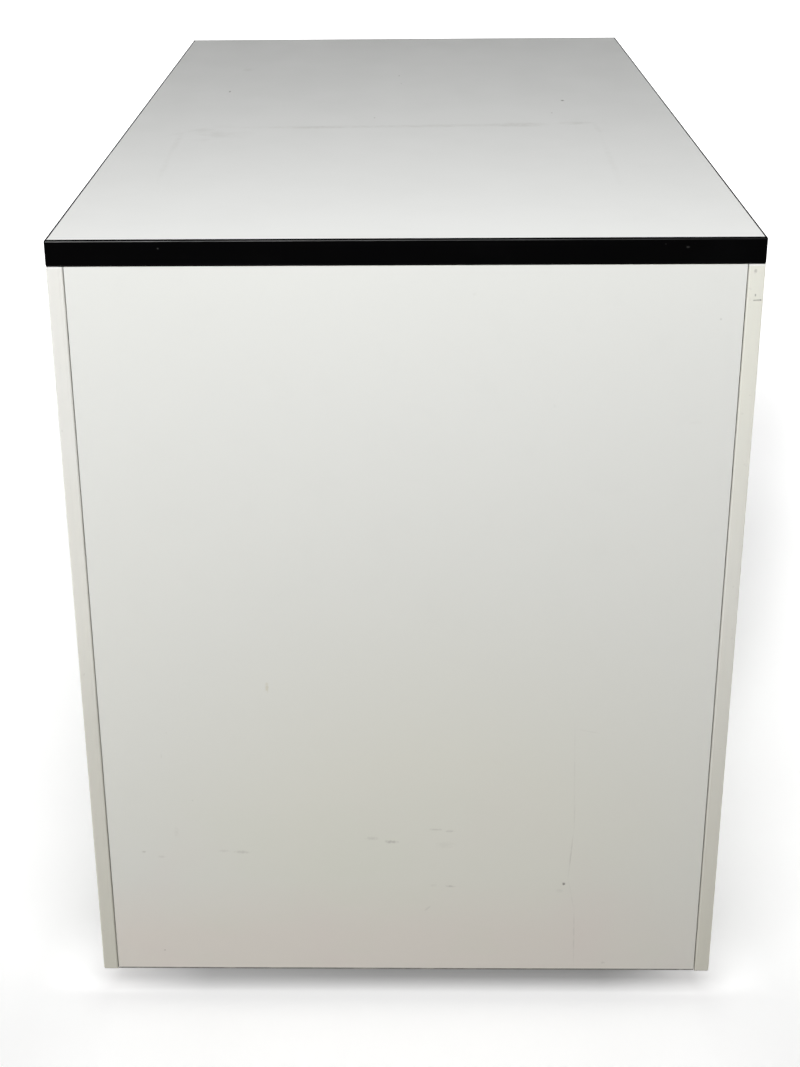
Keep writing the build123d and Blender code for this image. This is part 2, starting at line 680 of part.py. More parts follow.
def lock_bar():
    """Flat bar in the groove of the right side panel, with a slotted tab for the drive pin."""
    bar = block((bar_low_x, bar_high_x), (bar_y, bar_y + BAR_WIDTH), (bar_low_z, bar_high_z))
    slot_low = drive_x - DRIVE_PIN_R - DRIVE_CLEAR
    slot_high = lock_x + CAM_ARM + DRIVE_PIN_R + DRIVE_CLEAR
    bar += block((slot_low - TAB_END, bar_high_x), (bar_y, bar_y + TAB_THICK),
                 (drive_z - TAB_HALF, bar_high_z))
    half_slot = DRIVE_PIN_R + DRIVE_CLEAR
    bar -= block((slot_low, slot_high), (bar_y, bar_y + TAB_THICK),
                 (drive_z - half_slot, drive_z + half_slot))
    for drawer in drawers:
        bar -= lock_pin(drawer, LOCK_PIN_FIT)
    return bar


# Casters, each built round its swivel axis and then moved to its place

def caster_places():
    x = half_width - CASTER_INSET_X
    y = half_depth - CASTER_INSET_Y
    return [(-x, -y), (x, -y), (-x, y), (x, y)]


def plate_hole_places():
    half = PLATE_HOLES / 2
    return [(dx, dy) for dx in (-half, half) for dy in (-half, half)]


plate_low = CASTER_HEIGHT - PLATE_THICK
cup_low = plate_low - CUP_HEIGHT
hood_high = cup_low - SWIVEL_GAP
kingpin_low = plate_low - KINGPIN_LENGTH
wheel_in = FORK_WEB / 2 + WHEEL_GAP
wheel_out = wheel_in + WHEEL_WIDTH


def caster_plate():
    half = PLATE_SIDE / 2
    plate = block((-half, half), (-half, half), (plate_low, CASTER_HEIGHT))
    plate = fillet(plate.edges().filter_by(Axis.Z), PLATE_CORNER)
    plate += rod_z(CUP_R, 0, 0, (cup_low, plate_low))
    plate -= rod_z(KINGPIN_R + AXLE_FIT, 0, 0, (cup_low, plate_low))
    plate -= rod_z(KINGPIN_NECK_R + AXLE_FIT, 0, 0, (plate_low, CASTER_HEIGHT))
    for dx, dy in plate_hole_places():
        plate -= rod_z(SCREW_R + HOLE_CLEAR, dx, dy, (plate_low, CASTER_HEIGHT))
    return plate


def caster_kingpin():
    pin = rod_z(KINGPIN_R, 0, 0, (kingpin_low, plate_low))
    return pin + rod_z(KINGPIN_NECK_R, 0, 0, (plate_low, CASTER_HEIGHT))


def caster_screws():
    one = screw(SCREW_LENGTH, SCREW_HEAD)
    return group([Pos(dx, dy, plate_low) * one for dx, dy in plate_hole_places()])


def caster_fork():
    """Moulded fork: a web between the wheels, a hood over them and a cap for the kingpin."""
    hood_r = WHEEL_R + WELL_CLEAR + HOOD_WALL
    hood = rod_x(hood_r, (-wheel_out, wheel_out), TRAIL, WHEEL_R)
    hood = fillet(hood.edges().filter_by(GeomType.CIRCLE), HOOD_ROUND)
    hood &= block((-wheel_out, wheel_out), (TRAIL - hood_r, TRAIL + hood_r), (HOOD_LOW, hood_high))
    hood += rod_z(CAP_R, 0, 0, (CAP_LOW, hood_high))
    for x_span in ((-hood_r, -FORK_WEB / 2), (FORK_WEB / 2, hood_r)):
        hood -= rod_x(WHEEL_R + WELL_CLEAR, x_span, TRAIL, WHEEL_R)
    half_web = FORK_WEB / 2
    web = rod_x(FORK_ROUND_R, (-half_web, half_web), TRAIL, WHEEL_R)
    web += block((-half_web, half_web), (TRAIL - FORK_ROUND_R, TRAIL + FORK_ROUND_R), (WHEEL_R, CAP_LOW))
    web += block((-half_web, half_web), (-KINGPIN_R * 2, TRAIL), (HOOD_LOW, CAP_LOW))
    fork = hood + web
    fork -= rod_z(KINGPIN_R + AXLE_CLEAR, 0, 0, (kingpin_low - KINGPIN_END_GAP, hood_high))
    return fork - rod_x(AXLE_R + AXLE_FIT, (-half_web, half_web), TRAIL, WHEEL_R)


def caster_axle():
    axle_end = wheel_out - WHEEL_DISH
    return rod_x(AXLE_R, (-axle_end, axle_end), TRAIL, WHEEL_R)


def caster_wheels():
    wheel = rod_x(WHEEL_R, (wheel_in, wheel_out), TRAIL, WHEEL_R)
    wheel = fillet(wheel.edges().filter_by(GeomType.CIRCLE), WHEEL_ROUND)
    dish = rod_x(WHEEL_R - WHEEL_RIM, (wheel_out - WHEEL_DISH, wheel_out), TRAIL, WHEEL_R)
    dish -= rod_x(WHEEL_HUB_R, (wheel_out - WHEEL_DISH, wheel_out), TRAIL, WHEEL_R)
    wheel -= dish
    wheel -= rod_x(AXLE_R + AXLE_CLEAR, (wheel_in, wheel_out), TRAIL, WHEEL_R)
    return group((wheel, mirrored(wheel)))


def at_casters(shape):
    return group([Pos(x, y, 0) * shape for x, y in caster_places()])


# Writing every sub-part

os.makedirs("parts", exist_ok=True)

save("side_panel_left", side_panel(-1))
save("side_panel_right", side_panel(1))
save("bottom_panel", bottom_panel())
save("back_panel", back_panel())
save("top_panel", top_panel())
band_front, band_rear, bands_side = top_bands()
save("top_edge_bands_front_rear", group((band_front, band_rear)))
save("top_edge_bands_side", group((bands_side,)))
save("rear_edge_bands", rear_edge_bands())
save("front_edge_bands", front_edge_bands())
save("lock_rail", lock_rail())
frames = connector_frames()
save("connector_cams", group([plane.location * connector_cam(kind) for kind, side, plane in frames]))
save("connector_bolts", group([plane.location * connector_bolt() for kind, side, plane in frames]))

save("slide_outer_rails", slide_outer_rails())
save("slide_screws", slide_screws())
for drawer in drawers:
    save(f"{drawer.name}_slide_middle_rails", slide_middle_rails(drawer))
    save(f"{drawer.name}_slide_inner_rails", slide_inner_rails(drawer))
    save(f"{drawer.name}_drawer_front", drawer_front(drawer))
    save(f"{drawer.name}_drawer_grip", drawer_grip(drawer))
    save(f"{drawer.name}_drawer_shell", drawer_shell(drawer))
    save(f"{drawer.name}_drawer_ends", drawer_ends(drawer))
    save(f"{drawer.name}_drawer_catch", drawer_catch(drawer))
    save(f"{drawer.name}_front_screws", front_screws(drawer))
save("pen_tray", pen_tray())
save("file_rails", file_rails())

save("lock_housing", lock_housing())
save("lock_plug", lock_plug())
save("lock_cam", lock_cam())
save("lock_bar", lock_bar())
save("lock_pins", group([lock_pin(drawer) for drawer in drawers]))

save("caster_plates", at_casters(caster_plate()))
save("caster_kingpins", at_casters(caster_kingpin()))
save("caster_screws", at_casters(caster_screws()))
fork = caster_fork()
axle = caster_axle()
wheels = caster_wheels()
for (corner, turn), (x, y) in zip(CASTER_TURN.items(), caster_places()):
    place = Pos(x, y, 0) * Rot(0, 0, turn)
    save(f"caster_fork_{corner}", place * fork)
    save(f"caster_axle_{corner}", place * axle)
    save(f"caster_wheels_{corner}", place * wheels)

print(f"overall height {top_z:.1f}, drawer box half width {box_half:.1f}, drawer travel {travel:.1f}")
print(f"lock throw {lock_throw:.3f}, turn for each metre of the bar {radians(90) / lock_throw * 1000:.2f}")
for drawer in drawers:
    print(drawer)
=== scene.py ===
import json
from math import cos, radians, sin
from typing import NamedTuple

import bpy
from mathutils import Matrix, Vector


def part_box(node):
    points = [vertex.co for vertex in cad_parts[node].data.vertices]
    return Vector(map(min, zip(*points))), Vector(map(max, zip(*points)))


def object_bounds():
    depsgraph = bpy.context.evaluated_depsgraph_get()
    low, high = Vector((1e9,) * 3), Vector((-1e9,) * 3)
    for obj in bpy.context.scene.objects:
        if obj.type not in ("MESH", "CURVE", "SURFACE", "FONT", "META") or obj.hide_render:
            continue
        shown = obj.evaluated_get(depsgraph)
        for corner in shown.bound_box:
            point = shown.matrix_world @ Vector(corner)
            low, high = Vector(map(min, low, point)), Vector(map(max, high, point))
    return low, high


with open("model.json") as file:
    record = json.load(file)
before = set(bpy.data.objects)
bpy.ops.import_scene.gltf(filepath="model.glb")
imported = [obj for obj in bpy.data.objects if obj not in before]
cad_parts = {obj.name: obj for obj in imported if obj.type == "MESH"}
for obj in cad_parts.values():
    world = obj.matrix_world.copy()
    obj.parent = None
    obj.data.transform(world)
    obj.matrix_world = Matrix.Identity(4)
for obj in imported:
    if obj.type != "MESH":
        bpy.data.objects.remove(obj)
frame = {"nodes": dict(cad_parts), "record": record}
cad_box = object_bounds()
nodes = frame["nodes"]

# Lengths are in metres, in the CAD's own frame: +Y is the plain back that the photograph shows, +Z is up.
# A range for span or smooth says from and to, and where that isn't 0 and 1, what these two become.

MM = 0.001
EVEN = (1.0, 1.0, 1.0)

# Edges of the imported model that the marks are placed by
TOP_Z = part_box("top_panel")[1].z
TOP_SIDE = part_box("top_panel")[1].x
BACK_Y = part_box("back_panel")[1].y
BACK_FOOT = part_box("back_panel")[0].z
STRIP_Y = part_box("rear_edge_bands")[1].y
STRIP_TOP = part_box("rear_edge_bands")[1].z


# Short calls for node trees

class Pattern(NamedTuple):
    """Noise as a mask: out_low where the noise is low or less, out_high where it is high or more."""
    scale: float
    detail: float
    low: float
    high: float
    out_low: float = 0.0
    out_high: float = 1.0
    stretch: tuple = EVEN


# The Mix node has sockets for each kind of value, and these are its sockets for colours
MIX_FACTOR, MIX_A, MIX_B = 0, 6, 7
MIX_RESULT = 2


class Nodes:
    """Adds nodes to one tree. A value is a number or the socket of another node."""

    def __init__(self, tree):
        self.tree = tree

    def add(self, kind, inputs=None, **settings):
        node = self.tree.nodes.new(kind)
        for key, value in settings.items():
            setattr(node, key, value)
        for key, value in (inputs or {}).items():
            self.put(node.inputs[key], value)
        return node

    def put(self, socket, value):
        if isinstance(value, bpy.types.NodeSocket):
            self.tree.links.new(value, socket)
        else:
            socket.default_value = value

    def math(self, operation, a, b=0.0):
        return self.add("ShaderNodeMath", {0: a, 1: b}, operation=operation).outputs[0]

    def product(self, result, *others):
        for value in others:
            result = self.math("MULTIPLY", result, value)
        return result

    def total(self, result, *others):
        for value in others:
            result = self.math("ADD", result, value)
        return result

    def mix(self, factor, a, b, kind="MIX"):
        """From colour a, where factor is 0, to colour b."""
        inputs = {MIX_FACTOR: factor, MIX_A: a, MIX_B: b}
        return self.add("ShaderNodeMix", inputs, data_type="RGBA", blend_type=kind).outputs[MIX_RESULT]

    def parts(self, vector):
        """The x, y and z of a vector."""
        return self.add("ShaderNodeSeparateXYZ", {0: vector}).outputs

    def span(self, value, low, high, out_low=0.0, out_high=1.0, kind="LINEAR"):
        """value from low to high becomes out_low to out_high, and stays there beyond."""
        inputs = {"Value": value, "From Min": low, "From Max": high, "To Min": out_low, "To Max": out_high}
        return self.add("ShaderNodeMapRange", inputs, interpolation_type=kind).outputs["Result"]

    def smooth(self, value, low, high, out_low=0.0, out_high=1.0):
        return self.span(value, low, high, out_low, out_high, "SMOOTHSTEP")

    def seen(self):
        """1 for the rays that show the background itself: camera, glossy and transmission."""
        path = self.add("ShaderNodeLightPath").outputs
        mirrored = self.math("MAXIMUM", path["Is Glossy Ray"], path["Is Transmission Ray"])
        return self.math("MAXIMUM", path["Is Camera Ray"], mirrored)


# The levels that most of a noise lies between
NOISE_LOW = 0.3
NOISE_HIGH = 0.7
OUTLINE_NOISE = (600.0, 3.0)        # scale and detail of the noise that makes a spot's outline uneven


class Material(Nodes):
    """The material of a piece: its colour, roughness and bumps so far, which finish puts on the shader."""

    def __init__(self, name, color, roughness=0.5, metallic=0.0, specular=0.5):
        self.data = bpy.data.materials.new(name)
        self.data.use_nodes = True
        super().__init__(self.data.node_tree)
        self.shader = self.tree.nodes["Principled BSDF"]
        self.shader.inputs["Metallic"].default_value = metallic
        self.shader.inputs["Specular IOR Level"].default_value = specular
        self.place = self.add("ShaderNodeTexCoord").outputs["Object"]
        self.color = (*color, 1.0)
        self.roughness = roughness
        self.normal = None

    def noise(self, scale, detail, stretch=EVEN):
        place = self.place
        if stretch != EVEN:
            place = self.add("ShaderNodeMapping", {"Vector": place, "Scale": stretch}).outputs[0]
        inputs = {"Vector": place, "Scale": scale, "Detail": detail}
        return self.add("ShaderNodeTexNoise", inputs).outputs["Fac"]

    def mask(self, pattern):
        noise = self.noise(pattern.scale, pattern.detail, pattern.stretch)
        return self.span(noise, pattern.low, pattern.high, pattern.out_low, pattern.out_high)

    def spot(self, centre, radii, turn=(0, 0, 0), soft=0.5, wander=0.0):
        """1 inside an ellipsoid and 0 outside; wander makes its outline uneven."""
        inputs = {"Vector": self.place, "Location": centre, "Rotation": turn, "Scale": radii}
        local = self.add("ShaderNodeMapping", inputs, vector_type="TEXTURE").outputs[0]
        distance = self.add("ShaderNodeVectorMath", {0: local}, operation="LENGTH").outputs["Value"]
        if wander:
            uneven = self.span(self.noise(*OUTLINE_NOISE), NOISE_LOW, NOISE_HIGH, -wander, wander)
            distance = self.math("ADD", distance, uneven)
        return self.span(distance, 1.0, 1.0 - soft)

    def facing(self, axis):
        """How far the surface faces along an axis of the part, either way: 0 to 1."""
        normal = self.add("ShaderNodeTexCoord").outputs["Normal"]
        return self.math("ABSOLUTE", self.parts(normal)["XYZ".index(axis)])

    def tint(self, factor, color):
        """Goes from the colour so far towards another one."""
        self.color = self.mix(factor, self.color, (*color, 1.0))

    def shade(self, factor):
        """Darkens the colour so far, to black where factor is 1."""
        keep = self.math("SUBTRACT", 1.0, factor)
        gray = self.add("ShaderNodeCombineColor", {0: keep, 1: keep, 2: keep}).outputs[0]
        self.color = self.mix(1.0, self.color, gray, "MULTIPLY")

    def bump(self, height, depth):
        inputs = {"Height": height, "Distance": depth, "Strength": 1.0}
        if self.normal is not None:
            inputs["Normal"] = self.normal
        self.normal = self.add("ShaderNodeBump", inputs).outputs[0]

    def grain(self, scale, detail, depth):
        """Bumps of noise all over."""
        self.bump(self.noise(scale, detail), depth)

    def uneven_roughness(self, swing, noise):
        """Lets the roughness swing about its value so far."""
        low, high = self.roughness - swing, self.roughness + swing
        self.roughness = self.span(noise, NOISE_LOW, NOISE_HIGH, low, high)

    def finish(self):
        self.put(self.shader.inputs["Base Color"], self.color)
        self.put(self.shader.inputs["Roughness"], self.roughness)
        if self.normal is not None:
            self.put(self.shader.inputs["Normal"], self.normal)
        return self.data


# Boards

MELAMINE = (0.853, 0.865, 0.838)
LAMINATE = (0.863, 0.87, 0.851)
DIRT = (0.16, 0.15, 0.13)
GRIME = (0.52, 0.51, 0.47)

BOARD_ROUGHNESS = 0.54
BOARD_SPECULAR = 0.3
BOARD_CLOUDS = Pattern(3.0, 3.0, 0.35, 0.7, out_high=0.018)
BOARD_PATCHES = Pattern(45.0, 5.0, 0.55, 0.8, out_high=0.012)
BOARD_SCUFFS = Pattern(60.0, 6.0, 0.72, 0.80, out_high=0.18, stretch=(1.0, 1.0, 0.12))

CHIPS_DARK = (0.40, 0.27, 0.15)
CHIPS_PALE = (0.68, 0.53, 0.35)
CHIP_SCALE = 520.0
CHIP_CONTRAST = (0.05, 0.4)
CHIP_DEPTH = 0.5 * MM
RAW_FACING = (0.75, 0.65)           # raw where the surface faces the board's axis less than this


def board_base(name, color):
    """Satin melamine: a fine pearl grain, slight unevenness and a few rubbed patches."""
    board = Material(name, color, BOARD_ROUGHNESS, specular=BOARD_SPECULAR)
    board.shade(board.mask(BOARD_CLOUDS))
    board.shade(board.mask(BOARD_PATCHES))
    board.uneven_roughness(swing=0.05, noise=board.noise(scale=30.0, detail=4.0))
    board.grain(scale=1100.0, detail=2.0, depth=0.02 * MM)
    board.grain(scale=160.0, detail=2.0, depth=0.012 * MM)
    return board


def add_chipboard(board, axis, dark=CHIPS_DARK, pale=CHIPS_PALE):
    """Raw chipboard where the board doesn't face along axis."""
    cells = board.add("ShaderNodeTexVoronoi", {"Vector": board.place, "Scale": CHIP_SCALE})
    chips = cells.outputs["Distance"]
    speckle = board.product(board.noise(scale=900.0, detail=3.0), chips)
    chip_color = board.mix(board.span(speckle, *CHIP_CONTRAST), (*dark, 1.0), (*pale, 1.0))
    raw = board.span(board.facing(axis), *RAW_FACING)
    board.color = board.mix(raw, board.color, chip_color)
    board.bump(board.product(chips, raw), CHIP_DEPTH)


def plain_board(name, axis=None):
    board = board_base(name, MELAMINE)
    board.tint(board.mask(BOARD_SCUFFS), GRIME)
    if axis:
        add_chipboard(board, axis)
    return board.finish()


# Marks. A face turns a row's first two numbers into a place on it, and the next two into radii.

MARK_SOFT = 0.7
MARK_WANDER = 0.3
MARK_REACH = 5 * MM                 # into the board
BROKEN = Pattern(140.0, 3.0, 0.4, 0.6, out_low=0.35)


def on_wall(face_y):
    """An upright face: rows say x and the depth under the top."""
    def place(x, depth, half_width=0.0, half_height=0.0, reach=0.0):
        return (x, face_y, TOP_Z - depth), (half_width, reach, half_height)
    return place


def on_top(x, y, half_x=0.0, half_y=0.0, reach=0.0):
    """The face of the top: rows say x and y."""
    return (x, y, TOP_Z), (half_x, half_y, reach)


def add_marks(board, marks, face, reach=MARK_REACH):
    for *size, strength, color in marks:
        centre, radii = face(*(length * MM for length in size), reach)
        mask = board.spot(centre, radii, soft=MARK_SOFT, wander=MARK_WANDER)
        board.tint(board.product(mask, strength), color)


def add_lines(board, lines, face):
    """Thin broken scratches and rubs, each between two points."""
    for across1, along1, across2, along2, half_width, strength in lines:
        start = Vector(face(across1 * MM, along1 * MM)[0])
        end = Vector(face(across2 * MM, along2 * MM)[0])
        turn = (end - start).to_track_quat("Z", "Y").to_euler()
        radii = (half_width * MM, half_width * MM, (end - start).length / 2)
        mask = board.spot((start + end) / 2, radii, turn, MARK_SOFT)
        board.tint(board.product(mask, board.mask(BROKEN), strength), GRIME)


# The back panel

YELLOWED = (0.62, 0.58, 0.42)
# Its marks, in millimetres: x, depth under the top's face, half width, half height, then strength and colour
BACK_MARKS = (
    (89.2, 295.1, 1.5, 4.2, 0.42, YELLOWED),
    (156.1, 329.2, 0.7, 1.0, 0.15, GRIME),
    (160.4, 346.6, 0.7, 2.4, 0.15, GRIME),
    (141.4, 380.6, 0.7, 0.7, 0.20, DIRT),
    (176.4, 421.1, 1.7, 1.0, 0.42, GRIME),
    (164.5, 425.1, 3.0, 1.2, 0.24, GRIME),
    (153.6, 405.8, 2.0, 5.0, 0.08, GRIME),
    (122.0, 420.3, 4.6, 1.2, 0.20, GRIME),
    (109.9, 421.3, 5.8, 1.6, 0.38, GRIME),
    (22.2, 410.0, 5.0, 1.7, 0.28, GRIME),
    (9.0, 412.7, 5.2, 1.4, 0.56, GRIME),
    (-20.3, 403.0, 4.8, 1.0, 0.36, GRIME),
    (-30.3, 404.3, 3.6, 1.0, 0.36, GRIME),
    (-26.8, 415.2, 8.0, 3.0, 0.10, GRIME),
    (-30.7, 448.3, 3.4, 1.1, 0.46, GRIME),
    (-19.1, 447.7, 2.4, 1.4, 0.12, GRIME),
    (-107.5, 446.0, 1.25, 1.25, 0.80, DIRT),
    (-104.9, 451.7, 2.8, 2.0, 0.15, GRIME),
    (-136.8, 511.0, 1.7, 1.1, 0.25, GRIME),
    (-186.0, 49.0, 0.9, 0.9, 0.22, DIRT),
    (-41.1, 33.2, 1.3, 1.3, 0.08, GRIME),
    (-90.1, 102.9, 1.3, 1.3, 0.08, GRIME),
    (-174.9, 113.7, 5.0, 1.2, 0.05, GRIME),
    (166.5, 501.9, 0.8, 0.8, 0.45, DIRT),
)
# Its scratches, in millimetres: x and depth at one end, then at the other, half width, then strength
BACK_LINES = (
    (-110.4, 318.0, -112.8, 401.5, 0.7, 0.16),
    (-112.8, 380.0, -112.8, 408.0, 0.6, 0.22),
    (-112.8, 401.5, -110.0, 444.0, 0.7, 0.36),
    (-110.2, 441.3, -115.2, 468.0, 0.7, 0.14),
    (-115.0, 460.0, -116.5, 516.0, 0.7, 0.26),
    (-112.0, 325.8, -129.0, 329.4, 0.7, 0.14),
    (-12.8, 468.8, -18.0, 464.0, 1.0, 0.60),
    (154.0, 409.0, 152.0, 402.0, 0.9, 0.10),
)

# How it browns towards the floor: ranges of the height, and of x
LOW_MELAMINE = (0.855, 0.858, 0.79)
LOW_HEIGHT = (0.44, 0.16)
LOW_LEAST = 0.45                    # everywhere across, and more of it in the middle
LOW_MIDDLE = (-0.02, BACK_Y, 0.14)
LOW_MIDDLE_RADII = (0.20, 0.10, 0.20)
FOOT_MELAMINE = (0.865, 0.828, 0.772)
FOOT_HEIGHT = (0.10, 0.055)
FOOT_ACROSS = (-0.20, -0.08, 0.35, 1.0)
STAIN_HEIGHT = (0.20, 0.03)
ROSY = (0.86, 0.77, 0.75)
ROSY_STAINS = Pattern(14.0, 3.0, 0.50, 0.7, out_high=0.25)
MOSSY = (0.80, 0.84, 0.73)
MOSSY_STAINS = Pattern(11.0, 3.0, 0.52, 0.7, out_high=0.35, stretch=(1.0, 1.0, 1.6))

# A thin dark line of painted shade along its lower edge
FOOT_SHADE_LINE_COLOR = (0.14, 0.14, 0.13)
FOOT_SHADE_LINE_HEIGHT = (BACK_FOOT + 1.2 * MM, BACK_FOOT + 0.8 * MM)
FOOT_SHADE_LINE_STRENGTH = 0.92
FOOT_SHADE_LINE_BREAKUP = Pattern(90.0, 3.0, 0.3, 0.5, out_low=0.75)
BACK_CHIPS_DARK = (0.40, 0.40, 0.35)
BACK_CHIPS_PALE = (0.58, 0.58, 0.52)


def back_board():
    board = board_base("back_melamine", MELAMINE)
    across, _, height = board.parts(board.place)
    middle = board.spot(LOW_MIDDLE, LOW_MIDDLE_RADII, soft=1.0)
    low = board.product(board.span(height, *LOW_HEIGHT), board.total(LOW_LEAST, middle))
    board.tint(low, LOW_MELAMINE)
    foot = board.product(board.span(height, *FOOT_HEIGHT), board.span(across, *FOOT_ACROSS))
    board.tint(foot, FOOT_MELAMINE)
    stained = board.span(height, *STAIN_HEIGHT)
    board.tint(board.product(stained, board.mask(ROSY_STAINS)), ROSY)
    board.tint(board.product(stained, board.mask(MOSSY_STAINS)), MOSSY)
    add_marks(board, BACK_MARKS, on_wall(BACK_Y))
    add_lines(board, BACK_LINES, on_wall(BACK_Y))
    # Painted shade: a thin dark line along the lower edge
    edge = board.span(height, *FOOT_SHADE_LINE_HEIGHT)
    board.tint(board.product(edge, board.mask(FOOT_SHADE_LINE_BREAKUP), FOOT_SHADE_LINE_STRENGTH), FOOT_SHADE_LINE_COLOR)
    add_chipboard(board, "Y", BACK_CHIPS_DARK, BACK_CHIPS_PALE)
    return board.finish()


# The top

# Its marks, in millimetres: x, y, half length along x, half length along y, then strength and colour
TOP_MARKS = (
    (146.4, -98.9, 1.0, 3.4, 0.85, DIRT),
    (4.2, -174.2, 0.9, 3.2, 0.38, DIRT),
    (2.4, -133.9, 0.9, 2.6, 0.20, DIRT),
    (-128.3, -47.1, 1.7, 3.2, 0.80, DIRT),
    (-115.7, 6.8, 0.9, 2.6, 0.34, DIRT),
    (22.9, 23.4, 0.9, 2.6, 0.34, DIRT),
    (140.6, -211.3, 5.0, 9.0, 0.16, GRIME),
)
# Rubbed outline of something that stood on it, in millimetres: x and y at one end, then at the other, half
# width, then strength
TOP_LINES = (
    (164.0, 78.0, 142.0, 60.0, 8.0, 0.16),
    (150.0, 60.0, -60.0, 58.5, 7.0, 0.20),
    (92.0, 60.8, 40.0, 61.4, 6.0, 0.28),
    (30.0, 59.0, -104.0, 55.0, 8.0, 0.20),
    (-62.0, 55.5, -113.0, 53.6, 11.0, 0.32),
    (-113.0, 50.5, -147.0, 49.0, 8.0, 0.28),
    (-144.0, 50.0, -145.5, 90.0, 3.0, 0.16),
    (-145.0, 80.0, -140.0, 290.0, 3.0, 0.09),
    (166.0, 72.0, 166.0, 170.0, 3.0, 0.14),
    (166.0, 150.0, 163.0, 250.0, 3.0, 0.10),
)
SMUDGE_PLACE = (0.145, 0.085, TOP_Z)
SMUDGE_RADII = (0.035, 0.04, 0.01)
SMUDGE_SOFT = 0.9
SMUDGE = Pattern(60.0, 4.0, 0.42, 0.65, out_high=0.20)
GLUE_LINE = (0.01, 0.01, 0.01)
GLUE_ACROSS = (TOP_SIDE - 0.40 * MM, TOP_SIDE - 0.30 * MM)


def top_board():
    board = board_base("top_laminate", LAMINATE)
    add_marks(board, TOP_MARKS, on_top)
    add_lines(board, TOP_LINES, on_top)
    smudge = board.spot(SMUDGE_PLACE, SMUDGE_RADII, soft=SMUDGE_SOFT)
    board.tint(board.product(smudge, board.mask(SMUDGE)), GRIME)
    across = board.math("ABSOLUTE", board.parts(board.place)[0])
    board.tint(board.span(across, *GLUE_ACROSS), GLUE_LINE)
    add_chipboard(board, "Z")
    return board.finish()


# White edge bands

AGED_EDGE = (0.86, 0.86, 0.825)
EDGE_ROUGHNESS = 0.42
EDGE_YELLOW = (0.83, 0.81, 0.73)
EDGE_YELLOWED = Pattern(16.0, 3.0, 0.45, 0.75, out_high=0.25)
EDGE_STREAKS = Pattern(300.0, 2.0, 0.5, 0.8, out_high=0.03, stretch=(1.0, 1.0, 0.02))
EDGE_WORN = Pattern(220.0, 4.0, 0.66, 0.74, out_high=0.25)

# The two rear strips: ranges of the height, and of x
STRIP_FOOT = (0.80, 0.79, 0.70)
STRIP_FOOT_HEIGHT = (0.42, 0.02)
STRIP_DARKER_HEIGHT = (0.29, 0.22)
STRIP_DARKER_ACROSS = (-0.2, 0.2, 0.03, 0.08)
STRIP_YELLOW = (0.87, 0.87, 0.75)
STRIP_YELLOW_HEIGHT = (0.30, 0.45)
STRIP_YELLOW_ACROSS = (0.1, -0.1, 0.0, 0.5)
# A painted highlight along the upper ends of the strips
STRIP_END_HIGHLIGHT = (0.97, 0.97, 0.96)
STRIP_END_HIGHLIGHT_HEIGHT = (STRIP_TOP - 1.2 * MM, STRIP_TOP - 0.8 * MM, 0.0, 0.8)
# Their chips and dashes, in millimetres: x, depth under the top, half width, half height, then strength and
# colour
STRIP_CHIPS = (
    (-204.0, 20.0, 1.2, 1.8, 0.65, GRIME),
    (-205.0, 34.6, 0.6, 1.0, 0.60, DIRT),
    (-206.4, 37.6, 2.4, 0.6, 0.50, DIRT),
    (-204.4, 37.7, 0.8, 0.7, 0.55, DIRT),
    (-208.2, 37.5, 0.6, 0.7, 0.60, DIRT),
)


def strip_tones_and_highlight(band):
    """Darker low down, one strip more so and the other one yellower, with a painted highlight on the upper
    ends, and chips.
    """
    across, _, height = band.parts(band.place)
    # Darker low down, more so on one strip
    darker = band.product(band.span(height, *STRIP_DARKER_HEIGHT), band.span(across, *STRIP_DARKER_ACROSS))
    band.shade(darker)
    yellower = band.product(band.span(across, *STRIP_YELLOW_ACROSS), band.span(height, *STRIP_YELLOW_HEIGHT))
    band.tint(yellower, STRIP_YELLOW)
    # Painted highlight on the upper ends
    band.tint(band.span(height, *STRIP_END_HIGHLIGHT_HEIGHT), STRIP_END_HIGHLIGHT)
    add_marks(band, STRIP_CHIPS, on_wall(STRIP_Y))


def edge_band(name, rear=False):
    """White plastic, yellowed unevenly, with faint drawn streaks. The rear bands show in the photograph."""
    band = Material(name, AGED_EDGE, EDGE_ROUGHNESS, specular=BOARD_SPECULAR)
    if rear:
        height = band.parts(band.place)[2]
        band.tint(band.span(height, *STRIP_FOOT_HEIGHT), STRIP_FOOT)
    band.tint(band.mask(EDGE_YELLOWED), EDGE_YELLOW)
    band.shade(band.mask(EDGE_STREAKS))
    band.uneven_roughness(swing=0.06, noise=band.noise(scale=80.0, detail=4.0))
    if rear:
        strip_tones_and_highlight(band)
    band.tint(band.mask(EDGE_WORN), GRIME)
    band.grain(scale=900.0, detail=2.0, depth=0.015 * MM)
    return band.finish()


# Black edge bands of the top

BAND_BLACK = (0.0008, 0.0008, 0.0009)
BAND_CLOUD = (0.0025, 0.0025, 0.0026)
BAND_CLOUDS = Pattern(30.0, 4.0, 0.5, 0.8, out_high=0.5)
BAND_ROUGHNESS = 0.5
BAND_SPECULAR = 0.015
# Pale specks on the rear one, in millimetres: x, depth under the top, half width, half height, then strength
# and colour
SPECK = (0.07, 0.07, 0.068)
SPECK_REACH = 3 * MM
BAND_SPECKS = (
    (143.4, 5.1, 0.7, 0.6, 0.55, SPECK),
    (-164.0, 5.6, 1.5, 0.8, 0.40, SPECK),
    (-151.2, 3.8, 0.5, 0.5, 0.3, SPECK),
)
